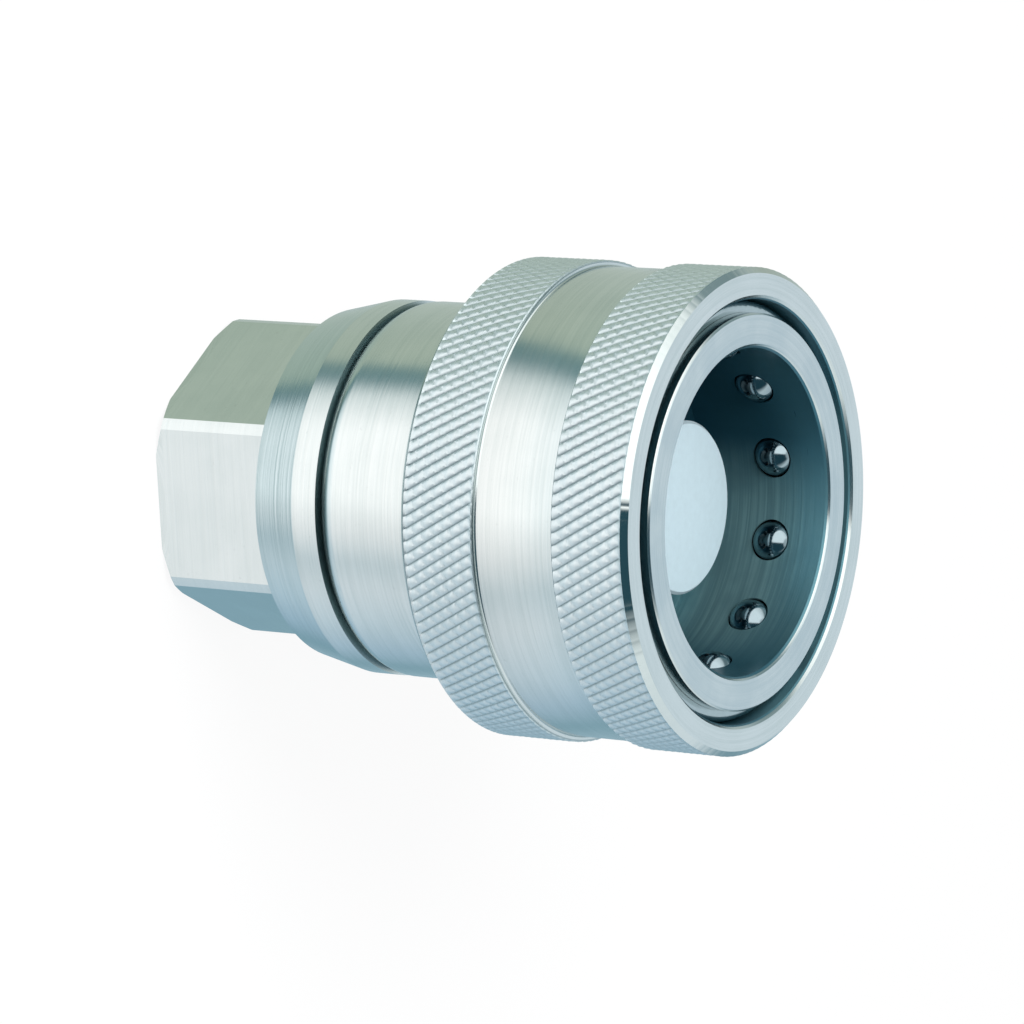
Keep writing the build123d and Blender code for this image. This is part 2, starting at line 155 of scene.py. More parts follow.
class Board:
    """A node tree with short calls for the nodes that the finishes use."""

    def __init__(self, tree: bpy.types.NodeTree) -> None:
        """Empties the tree.

        Args:
            tree: The node tree of a material or of the world.
        """
        self.tree = tree
        tree.nodes.clear()

    def node(
        self,
        kind: str,
        settings: dict[str, Any] | None = None,
        inputs: dict[str | int, Any] | None = None,
        output: str | int = 0,
    ) -> Term:
        """Adds a node, sets it up and links what feeds it.

        Args:
            kind: The node's type name.
            settings: Properties of the node, set before its sockets are read.
            inputs: Values or terms by socket name or index.
            output: The output socket to return.

        Returns:
            The chosen output as a term.
        """
        made = self.tree.nodes.new(kind)
        for key, value in (settings or {}).items():
            if key == "stops":
                self._write_stops(made, value)
            else:
                setattr(made, key, value)
        for key, value in (inputs or {}).items():
            if isinstance(value, Term):
                self.tree.links.new(value.socket, made.inputs[key])
            else:
                made.inputs[key].default_value = value
        return Term(self, made.outputs[output] if made.outputs else None)

    @staticmethod
    def _write_stops(ramp: bpy.types.Node, stops: Stops) -> None:
        """Writes the stops of a colour ramp.

        Args:
            ramp: The ramp node.
            stops: Place from 0 to 1 and colour of each stop, in rising order.
        """
        elements = ramp.color_ramp.elements
        while len(elements) > 1:
            elements.remove(elements[0])
        elements[0].position = stops[0][0]
        elements[0].color = (*stops[0][1], 1)
        for place, colour in stops[1:]:
            elements.new(place).color = (*colour, 1)

    def maths(self, operation: str, *values: "Term | float") -> Term:
        """A Math node on numbers or terms."""
        return self.node("ShaderNodeMath", {"operation": operation}, dict(enumerate(values)))

    def step(self, value: Term, low: float, high: float) -> Term:
        """0 below low, 1 above high and a smooth rise between.

        Args:
            value: The term to test.
            low: Where the rise starts. It may lie above high, for a fall.
            high: Where the rise ends.

        Returns:
            The smooth step.
        """
        first, last, start, end = (low, high, 0.0, 1.0)
        if low > high:
            first, last, start, end = (high, low, 1.0, 0.0)
        return self.node(
            "ShaderNodeMapRange",
            {"interpolation_type": "SMOOTHSTEP", "clamp": True},
            {"Value": value, "From Min": first, "From Max": last, "To Min": start, "To Max": end},
        )

    def noise(self, point: Term, grain: Grain) -> Term:
        """Noise from 0 to 1 at a point.

        Args:
            point: The point, in millimetres.
            grain: What the noise is like.

        Returns:
            The noise value.
        """
        return self.node(
            "ShaderNodeTexNoise",
            {"noise_dimensions": "3D"},
            {
                "Vector": point,
                "Scale": grain.cells,
                "Detail": grain.octaves,
                "Roughness": grain.rough,
            },
        )

    def join(self, x: "Term | float", y: "Term | float", z: "Term | float") -> Term:
        """A vector from three numbers."""
        return self.node("ShaderNodeCombineXYZ", None, {0: x, 1: y, 2: z})

    def split(self, vector: Term) -> tuple[Term, Term, Term]:
        """The three numbers of a vector.

        Args:
            vector: The vector.

        Returns:
            Its x, y and z.
        """
        parts = self.tree.nodes.new("ShaderNodeSeparateXYZ")
        self.tree.links.new(vector.socket, parts.inputs[0])
        x, y, z = (Term(self, parts.outputs[i]) for i in range(3))
        return x, y, z

    def place(self) -> tuple[Term, Term, Term]:
        """The point on the object, as three numbers in millimetres."""
        x, y, z = self.split(self.node("ShaderNodeTexCoord", output="Object"))
        return x * (1 / MM), y * (1 / MM), z * (1 / MM)

    def mix(self, factor: "Term | float", first: "Term | Colour", second: "Term | Colour") -> Term:
        """Mixes two colours.

        Args:
            factor: Share of the second colour.
            first: A colour, or a term that holds one.
            second: A colour, or a term that holds one.

        Returns:
            The mixed colour.
        """
        colours = [c if isinstance(c, Term) else (*c, 1) for c in (first, second)]
        return self.node(
            "ShaderNodeMix",
            {"data_type": "RGBA"},
            {0: factor, 6: colours[0], 7: colours[1]},
            output=2,
        )

    def bump(self, height: Term, depth: float, normal: Term | None = None) -> Term:
        """A bumped normal.

        Args:
            height: Height from 0 to 1.
            depth: What a height of 1 stands for, in millimetres.
            normal: A normal that is already bumped.

        Returns:
            The normal.
        """
        inputs: dict[str | int, Any] = {"Height": height, "Distance": depth * MM, "Strength": 1.0}
        if normal is not None:
            inputs["Normal"] = normal
        return self.node("ShaderNodeBump", None, inputs)

    def surface(self, **inputs: Any) -> None:
        """Ends the tree in a Principled shader.

        Args:
            **inputs: Values or terms by socket name, with underscores for spaces.
        """
        named = {key.replace("_", " "): value for key, value in inputs.items()}
        shader = self.node("ShaderNodeBsdfPrincipled", None, named)
        self.node("ShaderNodeOutputMaterial", None, {0: shader})


def new_board(name: str) -> tuple[bpy.types.Material, Board]:
    """Makes an empty material.

    Args:
        name: The material's name.

    Returns:
        The material and its node board.
    """
    material = bpy.data.materials.new(name)
    material.use_nodes = True
    return material, Board(material.node_tree)


def darker(colour: Colour, share: float) -> Colour:
    """A colour with each of its parts brought down to a share."""
    return tuple(share * part for part in colour)


@dataclass
class Skin:
    """What a turned piece's finish has come to so far, while zones are laid on it."""

    board: Board
    x: Term
    y: Term
    z: Term
    radius: Term
    cloud: Term
    lines: Term
    colour: Term
    rough: Term
    metal: Term | float = 1.0


@dataclass(frozen=True)
class DarkBore:
    """A bore that opens to the mouth, with a dark tone, a lighter side and a deeper rim.

    All three stand for shade and reflection that the photograph shows in the bore. They
    are painted in the object's own axes, so other light shows them as a tone of the metal.
    """

    radius: float
    low_z: float = 0.0
    tint: Colour = (0.02, 0.09, 0.13)
    side_tint: Colour = (0.22, 0.41, 0.44)
    rim_tint: Colour = (0.05, 0.15, 0.19)
    side_way: tuple[float, float] = (0.57, 0.82)
    side_rise: Rise = (10.5, 16.5)
    side_least: float = 0.65
    side_lines: float = 0.5
    cloud_rise: Rise = (0.3, 0.6)
    rim_rise: Rise = (56.0, 61.5)
    rim_share: float = 0.65
    added_rough: float = 0.12
    lost_metal: float = 0.35

    def lay(self, skin: Skin) -> None:
        """Lays the bore on a finish.

        The lighter side grows with the distance from the axis along side_way.

        Args:
            skin: The finish so far.
        """
        board = skin.board
        inside = (skin.radius < self.radius) * (skin.z > self.low_z)
        aside = skin.x * self.side_way[0] + skin.y * self.side_way[1]
        streaks = skin.lines * self.side_lines * board.step(skin.cloud, *self.cloud_rise)
        lighter = board.step(aside, *self.side_rise) * (self.side_least + streaks)
        tone = board.mix(lighter, self.tint, self.side_tint)
        near_rim = board.step(skin.z, *self.rim_rise) * inside
        skin.colour = board.mix(inside, skin.colour, tone)
        skin.colour = board.mix(near_rim * self.rim_share, skin.colour, self.rim_tint)
        skin.rough = skin.rough + inside * self.added_rough
        skin.metal = 1.0 - inside * self.lost_metal


@dataclass(frozen=True)
class MouthFace:
    """The tube's end face, toned bluish grey and blotched."""

    low_z: float
    tint: Colour = (0.46, 0.54, 0.56)
    least: float = 0.35
    cloud_rise: Rise = (0.3, 0.65)
    cloud_share: float = 0.35
    line_share: float = 0.3

    def lay(self, skin: Skin) -> None:
        """Lays the face on a finish.

        Args:
            skin: The finish so far.
        """
        board = skin.board
        cloud = board.step(skin.cloud, *self.cloud_rise) * self.cloud_share
        blotch = cloud + skin.lines * self.line_share + self.least
        skin.colour = board.mix((skin.z > self.low_z) * blotch, skin.colour, self.tint)


@dataclass(frozen=True)
class Seam:
    """The dark ring where the socket is screwed down on the adapter: partly the joint's own
    unplated steel and partly painted shade in the joint's depth.
    """

    z: float
    fall: Rise = (1.1, 0.3)
    tint: Colour = (0.07, 0.15, 0.17)
    share: float = 0.85
    added_rough: float = 0.2

    def lay(self, skin: Skin) -> None:
        """Lays the seam on a finish.

        Args:
            skin: The finish so far.
        """
        board = skin.board
        # Painted shade over the joint's own darker steel: darkest at the seam, fading out above
        # it.
        seam = board.step(skin.z, self.z + self.fall[0], self.z + self.fall[1])
        skin.colour = board.mix(seam * self.share, skin.colour, self.tint)
        skin.rough = skin.rough + seam * self.added_rough


@dataclass(frozen=True)
class KnurlTone:
    """Knurled bands: pale crests, grey grooves that are partly their own tone and partly painted
    shade, and a bright chamfer above the top band.
    """

    crest_r: float
    depth: float
    top_z: float
    crest_tint: Colour = (0.67, 0.77, 0.80)
    crest_share: float = 0.6
    groove_shade_tint: Colour = (0.17, 0.24, 0.25)
    groove_shade_share: float = 0.5
    groove_start: float = 0.07
    floor_slack: float = 0.05
    chamfer_width: float = 0.62
    added_rough: float = 0.26
    chamfer_polish: float = 0.10

    def lay(self, skin: Skin) -> None:
        """Lays the knurl's tone on a finish.

        Args:
            skin: The finish so far.
        """
        board = skin.board
        floor = self.crest_r - self.depth
        knurled = (skin.radius > floor - self.floor_slack) * (skin.z < self.top_z)
        grooves = board.step(skin.radius, self.crest_r - self.groove_start, floor) * knurled
        chamfer = (skin.z > self.top_z) * (skin.radius > self.crest_r - self.chamfer_width)
        skin.colour = board.mix(knurled * self.crest_share, skin.colour, self.crest_tint)
        # The grooves' grey is partly their own tone and partly painted shade.
        skin.colour = board.mix(grooves * self.groove_shade_share, skin.colour, self.groove_shade_tint)
        skin.rough = skin.rough + knurled * self.added_rough - chamfer * self.chamfer_polish


Zone = DarkBore | MouthFace | Seam | KnurlTone


@dataclass(frozen=True)
class MilledFlats:
    """The hexagon's flats, where the marks run straight and faint."""

    high_z: float
    low_z: float = 0.9
    least_r: float = 14.2
    lost_lines: float = 0.6

    def mask(self, z: Term, radius: Term) -> Term:
        """1 on the flats, else 0."""
        return (z > self.low_z) * (z < self.high_z) * (radius > self.least_r)


@dataclass(frozen=True)
class TurnedSteel:
    """Plated steel from a lathe: fine rings round the axis and a few handling marks.

    The marks come in two kinds, coarse and fine. A kind's stretch says how fast its noise
    runs round the axis and along it.
    """

    name: str
    zones: tuple[Zone, ...] = ()
    flats: MilledFlats | None = None
    tint: Colour = (0.63, 0.68, 0.67)
    dull: Colour = (0.54, 0.60, 0.59)
    roughness: float = 0.19
    mark_depth: float = 0.014
    fine_depth_share: float = 0.4
    along_z: float = 0.93
    along_r: float = 1.07
    marks: Grain = Grain(1.0, 2.0, 0.6)
    coarse_stretch: tuple[float, float] = (0.03, 2.4)
    coarse_rise: Rise = (0.42, 0.62)
    coarse_share: float = 0.5
    fine_stretch: tuple[float, float] = (0.08, 6.5)
    fine_rise: Rise = (0.45, 0.65)
    fine_share: float = 0.35
    clouds: Grain = Grain(0.16, 3.0, 0.55)
    cloud_rise: Rise = (0.35, 0.7)
    cloud_share: float = 0.3
    line_share: float = 0.7
    specks: Grain = Grain(2.3, 2.0, 0.7)
    speck_rise: Rise = (0.66, 0.74)
    speck_share: float = 0.2
    speck_dark: float = 0.6
    cloud_rough: float = 0.08
    fine_rough: float = 0.10

    def material(self) -> bpy.types.Material:
        """Builds the material.

        The turning marks are noise on a point whose z runs fast and whose x and y run
        slowly, so that it draws lines round the axis on cylinders and on faces alike.

        Returns:
            The material.
        """
        material, board = new_board(self.name)
        x, y, z = board.place()
        radius = board.maths("SQRT", x * x + y * y)
        point = board.join(x, y, z)
        along = z * self.along_z + radius * self.along_r
        if self.flats:
            milled = self.flats.mask(z, radius)
            along = along - milled * radius * self.along_r

        def drawn_out(stretch: tuple[float, float]) -> Term:
            """The marks' noise, drawn out round the axis."""
            place = board.join(x * stretch[0], y * stretch[0], along * stretch[1])
            return board.noise(place, self.marks)

        coarse, fine = drawn_out(self.coarse_stretch), drawn_out(self.fine_stretch)
        cloud = board.noise(point, self.clouds)
        specks = board.step(board.noise(point, self.specks), *self.speck_rise)
        lines = board.step(coarse, *self.coarse_rise) * self.coarse_share
        lines = lines + board.step(fine, *self.fine_rise) * self.fine_share
        if self.flats:
            lines = lines - lines * milled * self.flats.lost_lines
        dulled = board.step(cloud, *self.cloud_rise) * self.cloud_share + lines * self.line_share
        colour = board.mix(dulled, self.tint, self.dull)
        colour = board.mix(specks * self.speck_share, colour, darker(self.dull, self.speck_dark))
        rough = self.roughness + (cloud - NOISE_MIDDLE) * self.cloud_rough
        rough = rough + (fine - NOISE_MIDDLE) * self.fine_rough
        skin = Skin(board, x, y, z, radius, cloud, lines, colour, rough)
        for zone in self.zones:
            zone.lay(skin)
        normal = board.bump(coarse, self.mark_depth)
        normal = board.bump(fine, self.mark_depth * self.fine_depth_share, normal)
        board.surface(
            Base_Color=skin.colour, Metallic=skin.metal, Roughness=skin.rough, Normal=normal
        )
        return material


@dataclass(frozen=True)
class PlainMetal:
    """Metal with an even grain, such as a ball, a spring wire or a cast alloy."""

    name: str
    tint: Colour
    roughness: float
    metal: float = 1.0
    mottle: Grain = Grain(1.2, 3.0, 0.6)
    mottle_share: float = 0.4
    mottle_dark: float = 0.7
    mottle_rough: float = 0.08
    grain_depth: float = 0.004

    def material(self) -> bpy.types.Material:
        """Builds the material.

        Returns:
            The material.
        """
        material, board = new_board(self.name)
        cloud = board.noise(board.join(*board.place()), self.mottle)
        shade = darker(self.tint, self.mottle_dark)
        colour = board.mix(cloud * self.mottle_share, self.tint, shade)
        rough = self.roughness + (cloud - NOISE_MIDDLE) * self.mottle_rough
        normal = board.bump(cloud, self.grain_depth)
        board.surface(Base_Color=colour, Metallic=self.metal, Roughness=rough, Normal=normal)
        return material


@dataclass(frozen=True)
class SoftSolid:
    """Rubber or plastic: no metal, a slight mottle and a fine grain."""

    name: str
    tint: Colour
    shade: Colour
    roughness: float
    mottle: Grain = Grain(0.5, 3.0, 0.6)
    mottle_rough: float = 0.12
    grain: Grain = Grain(9.0, 2.0, 0.6)
    grain_depth: float = 0.004

    def material(self) -> bpy.types.Material:
        """Builds the material.

        Returns:
            The material.
        """
        material, board = new_board(self.name)
        point = board.join(*board.place())
        cloud = board.noise(point, self.mottle)
        grain = board.noise(point, self.grain)
        colour = board.mix(cloud, self.tint, self.shade)
        rough = self.roughness + (cloud - NOISE_MIDDLE) * self.mottle_rough
        normal = board.bump(grain, self.grain_depth)
        board.surface(Base_Color=colour, Metallic=0.0, Roughness=rough, Normal=normal)
        return material


def smooth_object(name: str, mesh: bpy.types.Mesh, sharp_from: float) -> bpy.types.Object:
    """Shades a mesh smooth up to an angle and puts it in the scene.

    Args:
        name: The object's name.
        mesh: The mesh.
        sharp_from: Angle in degrees from which an edge stays sharp.

    Returns:
        The object, at the origin.
    """
    mesh.polygons.foreach_set("use_smooth", np.ones(len(mesh.polygons), bool))
    mesh.set_sharp_from_angle(angle=math.radians(sharp_from))
    made = bpy.data.objects.new(name, mesh)
    bpy.context.scene.collection.objects.link(made)
    return made


def ring_grid_object(name: str, points: np.ndarray) -> bpy.types.Object:
    """Makes a closed mesh from a grid of points whose rows and columns both close.

    Each quad joins point (i, j) to its neighbours (i, j + 1), (i + 1, j + 1) and
    (i + 1, j), with i and j taken round.

    Args:
        name: The object's name.
        points: Array of rows by columns by three, in metres.

    Returns:
        The object, at the origin.
    """
    rows, columns = points.shape[:2]
    i = np.arange(rows)[:, None]
    j = np.arange(columns)[None, :]
    below, above = i * columns, ((i + 1) % rows) * columns
    right = (j + 1) % columns
    quads = np.stack([below + j, below + right, above + right, above + j], axis=-1)
    mesh = bpy.data.meshes.new(name)
    mesh.from_pydata(points.reshape(-1, 3).tolist(), [], quads.reshape(-1, 4).tolist())
    mesh.validate()
    return smooth_object(name, mesh, GRID_SHARP_FROM)


def wire_object(name: str, points: np.ndarray) -> bpy.types.Object:
    """Makes a closed mesh from rings of points along a path, with a cap at each end.

    Ring k joins ring k + 1 with quads, and the two end rings are closed by one face each.

    Args:
        name: The object's name.
        points: Array of rings by points round the wire by three, in metres.

    Returns:
        The object, at the origin.
    """
    rings, around = points.shape[:2]
    i = np.arange(rings - 1)[:, None] * around
    j = np.arange(around)[None, :]
    right = (j + 1) % around
    quads = np.stack([i + j, i + right, i + around + right, i + around + j], axis=-1)
    first = np.arange(around)[::-1].tolist()
    last = ((rings - 1) * around + np.arange(around)).tolist()
    mesh = bpy.data.meshes.new(name)
    faces = quads.reshape(-1, 4).tolist() + [first, last]
    mesh.from_pydata(points.reshape(-1, 3).tolist(), [], faces)
    return smooth_object(name, mesh, WIRE_SHARP_FROM)


def dress(piece: bpy.types.Object, material: bpy.types.Material) -> None:
    """Gives a piece one material."""
    piece.data.materials.append(material)


def dress_node(frame: dict[str, Any], node: str, material: bpy.types.Material) -> None:
    """Gives a frame node one material in all its slots.

    Args:
        node: The node's name.
        material: The material.
    """
    shown = frame["nodes"][node]
    if not shown.material_slots:
        shown.data.materials.append(material)
    for slot in shown.material_slots:
        slot.material = material
    LOG.info("dressed %s in %s", node, material.name)


@dataclass
class LockingSleeve:
    """The outer sleeve: two knurled bands with a smooth waist between them.

    Inner lists the radius and height of the inside's corners from the mouth to the end of
    the spring's chamber, whose radius is inner_r.
    """

    outer_r: float = 25.0
    waist_r: float = 24.35
    rear_z: float = 36.5
    rear_band_z: float = 45.15
    front_band_z: float = 54.4
    front_z: float = 63.0
    chamfer: float = 0.6
    edge_drop: float = 0.15
    edge_height: float = 0.12
    corner_r: float = 0.3
    corner_rows: int = 5
    starts: int = 122
    start_shares: tuple[float, ...] = (0.0, 0.22, 0.40, 0.50, 0.60, 0.78)
    helix: float = 30.0
    depth: float = 0.22
    crest_power: float = 0.7
    cross_share: float = 0.71
    band_rows: int = 52
    run_out: float = 0.25
    chamfer_weight: float = 0.12
    edge_weight: float = 0.45
    recess_mask_r: float = 21.9
    mark_depth: float = 0.009
    inner: tuple[tuple[float, float], ...] = (
        (22.15, 63.0),
        (21.75, 62.6),
        (21.75, 59.55),
        (21.15, 59.55),
        (20.40, 55.80),
        (20.40, 51.5),
        (22.90, 51.5),
    )
    inner_r: float = 22.90

    def _band(self, start: float, end: float, first: float, last: float) -> np.ndarray:
        """Rows of one knurled band.

        Args:
            start: Height of its rear edge.
            end: Height of its front edge.
            first: The knurl's weight at the rear edge, from which it runs in to 1.
            last: The knurl's weight at the front edge.

        Returns:
            Rows of radius, height and knurl weight.
        """
        z = np.linspace(start, end, self.band_rows)
        places = [start, start + self.run_out, end - self.run_out, end]
        weight = np.interp(z, places, [first, 1.0, 1.0, last])
        return np.column_stack([np.full_like(z, self.outer_r), z, weight])

    def _outside(self) -> np.ndarray:
        """The outside profile from the rear edge to the mouth edge.

        Returns:
            Rows of radius, height and knurl weight.
        """
        chamfer_r, edge_r = self.outer_r - self.chamfer, self.outer_r - self.edge_drop
        fall = np.linspace(0, math.pi / 2, self.corner_rows)
        less_sine = self.corner_r * (1 - np.sin(fall))
        less_cosine = self.corner_r * (1 - np.cos(fall))
        parts = [
            [(self.inner_r, self.rear_z, 0.0), (chamfer_r, self.rear_z, 0.0)],
            self._band(
                self.rear_z + self.chamfer,
                self.rear_band_z - self.edge_height,
                self.chamfer_weight,
                self.edge_weight,
            ),
            [(edge_r, self.rear_band_z, 0.0)],
            np.column_stack([self.waist_r + less_sine, self.rear_band_z + less_cosine, 0 * fall]),
            np.column_stack([self.waist_r + less_cosine, self.front_band_z - less_sine, 0 * fall]),
            [(edge_r, self.front_band_z, 0.0)],
            self._band(
                self.front_band_z + self.edge_height,
                self.front_z - self.chamfer,
                self.edge_weight,
                self.chamfer_weight,
            ),
            [(chamfer_r, self.front_z, 0.0)],
        ]
        return np.concatenate(parts)

    def _pillow(self, phase: np.ndarray) -> np.ndarray:
        """A broad crest at whole phases and a sharp valley half way between, from 1 to 0."""
        return np.abs(np.cos(math.pi * phase)) ** self.crest_power

    def build(self) -> bpy.types.Object:
        """Builds the sleeve as one closed surface.

        A point is (r cos a, r sin a, z). Round the axis the grid has a few columns for
        each knurl start, closest together at its groove, and inside the bands its rows
        turn with the first family of grooves, so that ridges run along the grid. The
        radius is the crest's less the depth times the deeper of two pillow waves, one
        for each family, the second a little shallower than the first.

        Returns:
            The sleeve piece.
        """
        outside = self._outside()
        inside = np.array([(r, z, 0.0) for r, z in self.inner])
        rows = np.concatenate([outside, inside])
        radius, height, weight = rows[:, 0:1], rows[:, 1:2], rows[:, 2:3]
        lead = math.tan(math.radians(self.helix)) / self.outer_r
        in_band = np.where(weight > 0, 1.0, 0.0)
        climb = np.cumsum(np.diff(height, axis=0, prepend=height[:1]) * in_band, axis=0)
        twist = -lead * climb
        back = np.linspace(0, 1, len(inside) + 1)[1:, None]
        twist[len(outside):] = twist[len(outside) - 1] * (1 - back)
        columns = (np.arange(self.starts)[:, None] + np.array(self.start_shares)).reshape(1, -1)
        angle = 2 * math.pi * columns / self.starts + twist
        first = self.starts * (angle + lead * climb) / (2 * math.pi)
        second = self.starts * (angle - lead * climb) / (2 * math.pi)
        cross = 1 - self.cross_share * (1 - self._pillow(second))
        ridge = np.minimum(self._pillow(first), cross)
        r = radius - self.depth * weight * (1 - ridge)
        points = np.stack([r * np.cos(angle), r * np.sin(angle), height + 0 * angle], axis=-1)
        sleeve = ring_grid_object("knurled_sleeve", points * MM)
        # The sleeve's inside gets the bore's painted shade, painted reflection and darker rim.
        recess = DarkBore(self.recess_mask_r)
        knurl = KnurlTone(self.outer_r, self.depth, self.front_z - self.chamfer)
        steel = TurnedSteel("knurled_steel", (recess, knurl), mark_depth=self.mark_depth)
        dress(sleeve, steel.material())
        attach(sleeve, Body.SLEEVE.value)
        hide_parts("locking_sleeve")
        LOG.info("built %s with %d faces", sleeve.name, len(sleeve.data.polygons))
        return sleeve


@dataclass
class CoilSpring:
    """A spring of round wire with ground ends."""

    name: str
    node: str
    body: Body
    joint: str
    coil_r: float
    wire: float
    turns: float
    low_z: float
    high_z: float
    travel: float
    rings_per_turn: int = 48
    around: int = 16

    def build(self, material: bpy.types.Material) -> bpy.types.Object:
        """Builds the spring.

        The wire's centre runs round the axis while it rises from one end to the other.
        Each ring of points is a circle across it, and what passes an end plane is
        pressed flat on it.

        Args:
            material: The wire's finish.

        Returns:
            The spring piece.
        """
        length = self.high_z - self.low_z
        steps = np.linspace(0, 1, round(self.turns * self.rings_per_turn) + 1)[:, None]
        turn = 2 * math.pi * self.turns * steps
        slope = math.atan2(length / self.turns, 2 * math.pi * self.coil_r)
        across = 2 * math.pi * np.arange(self.around)[None, :] / self.around
        radius = self.coil_r + self.wire / 2 * np.cos(across)
        up = self.wire / 2 * np.sin(across)
        lean = up * math.sin(slope)
        x = radius * np.cos(turn) + lean * np.sin(turn)
        y = radius * np.sin(turn) - lean * np.cos(turn)
        height = self.low_z + length * steps + up * math.cos(slope)
        z = np.clip(height, self.low_z, self.high_z)
        spring = wire_object(self.name, np.stack([x, y, z], axis=-1) * MM)
        dress(spring, material)
        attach(spring, self.body.value)
        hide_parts(self.node)
        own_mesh(spring)
        return spring


@dataclass
class RubberRing:
    """An O-ring in its groove."""

    name: str
    node: str
    body: Body
    ring_r: float
    z: float
    wire: float
    columns: int = 144
    around: int = 20

    def build(self, material: bpy.types.Material) -> bpy.types.Object:
        """Builds the ring.

        A point is a circle's point, at the ring's radius plus the wire's radius times
        a cosine, carried round the axis.

        Args:
            material: The rubber.

        Returns:
            The ring piece.
        """
        across = -2 * math.pi * np.arange(self.around)[:, None] / self.around
        angle = 2 * math.pi * np.arange(self.columns)[None, :] / self.columns
        radius = self.ring_r + self.wire / 2 * np.cos(across)
        height = self.z - self.wire / 2 * np.sin(across) + 0 * angle
        points = np.stack([radius * np.cos(angle), radius * np.sin(angle), height], axis=-1)
        ring = ring_grid_object(self.name, points * MM)
        dress(ring, material)
        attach(ring, self.body.value)
        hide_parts(self.node)
        LOG.info("built %s", self.name)
        return ring


@dataclass
class PortThread:
    """The G 1/2 thread in the hose port, as a liner inside the port's plain wall."""

    name: str = "port_thread"
    pitch: float = 1.814
    major_r: float = 10.4775
    minor_r: float = 9.3155
    wall_r: float = 10.495
    low_z: float = 1.25
    high_z: float = 14.2
    run_out: float = 1.2
    roughness: float = 0.28
    crest_rounding: float = 0.97
    wave_gain: float = 0.72 / 1.3
    columns: int = 96
    rows_per_turn: int = 12

    def build(self) -> bpy.types.Object:
        """Builds the thread.

        The liner's inner radius is the major radius less the depth times a wave of the
        height less the helix's rise, with round crests and roots. The wave is an
        arcsine of a sine a little under its full height, cut off at 0 and 1, and runs
        out at both ends. The back is a plain cylinder inside the port's wall.

        Returns:
            The thread piece.
        """
        turns = (self.high_z - self.low_z) / self.pitch
        height = np.linspace(self.high_z, self.low_z, round(turns * self.rows_per_turn))[:, None]
        angle = 2 * math.pi * np.arange(self.columns)[None, :] / self.columns
        phase = height / self.pitch - angle / (2 * math.pi)
        flanks = np.arcsin(self.crest_rounding * np.sin(2 * math.pi * phase))
        wave = np.clip(0.5 + self.wave_gain * flanks, 0, 1)
        ends = np.minimum(height - self.low_z, self.high_z - height)
        weight = np.clip(ends / self.run_out, 0, 1)
        inner = self.major_r - (self.major_r - self.minor_r) * wave * weight
        back = np.full((2, self.columns), self.wall_r)
        radius = np.concatenate([back, inner])
        z = np.concatenate([np.array([[self.low_z], [self.high_z]]), height]) + 0 * angle
        points = np.stack([radius * np.cos(angle), radius * np.sin(angle), z], axis=-1)
        thread = ring_grid_object(self.name, points * MM)
        dress(thread, TurnedSteel("thread_steel", roughness=self.roughness).material())
        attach(thread, Body.SOCKET.value)
        LOG.info("built %s with %.1f turns", self.name, turns)
        return thread


@dataclass
class Metalwork:
    """The frame's own pieces that keep their shape and take a finish."""

    frame: dict[str, Any]
    mouth_bore_r: float = 17.0
    mouth_bore_z: float = 42.0
    mouth_face_z: float = 62.9
    hexagon_z: float = 14.7
    joint_z: float = 23.0

    def dress(self) -> None:
        """Dresses each node of the frame."""
        bore = DarkBore(self.mouth_bore_r, self.mouth_bore_z)
        zones = (bore, MouthFace(self.mouth_face_z), Seam(self.joint_z))
        ring = PlainMetal("ring_steel", (0.42, 0.50, 0.51), 0.20).material()
        # The balls' dark tint is painted shade from the bore around them.
        ball = PlainMetal("ball_steel", (0.32, 0.40, 0.43), 0.12).material()
        alloy = PlainMetal("valve_alloy", (0.55, 0.68, 0.73), 0.50, metal=0.35)
        plastic = SoftSolid("backup_plastic", (0.80, 0.80, 0.76), (0.72, 0.72, 0.68), 0.40)
        finishes = {
            "socket_body": TurnedSteel("socket_steel", zones).material(),
            "port_adapter": TurnedSteel(
                "adapter_steel", flats=MilledFlats(self.hexagon_z)
            ).material(),
            "sleeve_stop_ring": ring,
            "spring_seat_ring": ring,
            "valve_poppet": alloy.material(),
            "valve_guide": PlainMetal("guide_alloy", (0.55, 0.57, 0.58), 0.40).material(),
            "nose_backup_ring": plastic.material(),
        }
        for node in self.frame["nodes"]:
            if node.startswith("locking_ball"):
                dress_node(self.frame, node, ball)
            elif node in finishes:
                dress_node(self.frame, node, finishes[node])


# What the metal mirrors from cards level with it or lower, by share of a turn. The
# camera stands at 0.5, and the photograph's top is near 0.25. These strengths were
# adjusted until the bands on the metal had about the tones that they have in the
# photograph.
LOWER_CARDS: Stops = (
    (0.00, (0.54, 0.64, 0.66)),
    (0.07, (0.56, 0.64, 0.58)),
    (0.27, (0.58, 0.66, 0.55)),
    (0.285, (0.18, 0.32, 0.33)),
    (0.31, (0.20, 0.34, 0.36)),
    (0.34, (1.05, 1.10, 1.10)),
    (0.40, (1.60, 1.54, 1.54)),
    (0.52, (1.60, 1.54, 1.54)),
    (0.58, (1.20, 1.18, 1.20)),
    (0.63, (0.82, 0.90, 0.96)),
    (0.68, (0.95, 1.00, 1.06)),
    (0.76, (0.76, 0.88, 0.98)),
    (0.83, (0.52, 0.69, 0.84)),
    (0.89, (0.27, 0.45, 0.54)),
    (0.94, (0.34, 0.51, 0.60)),
)

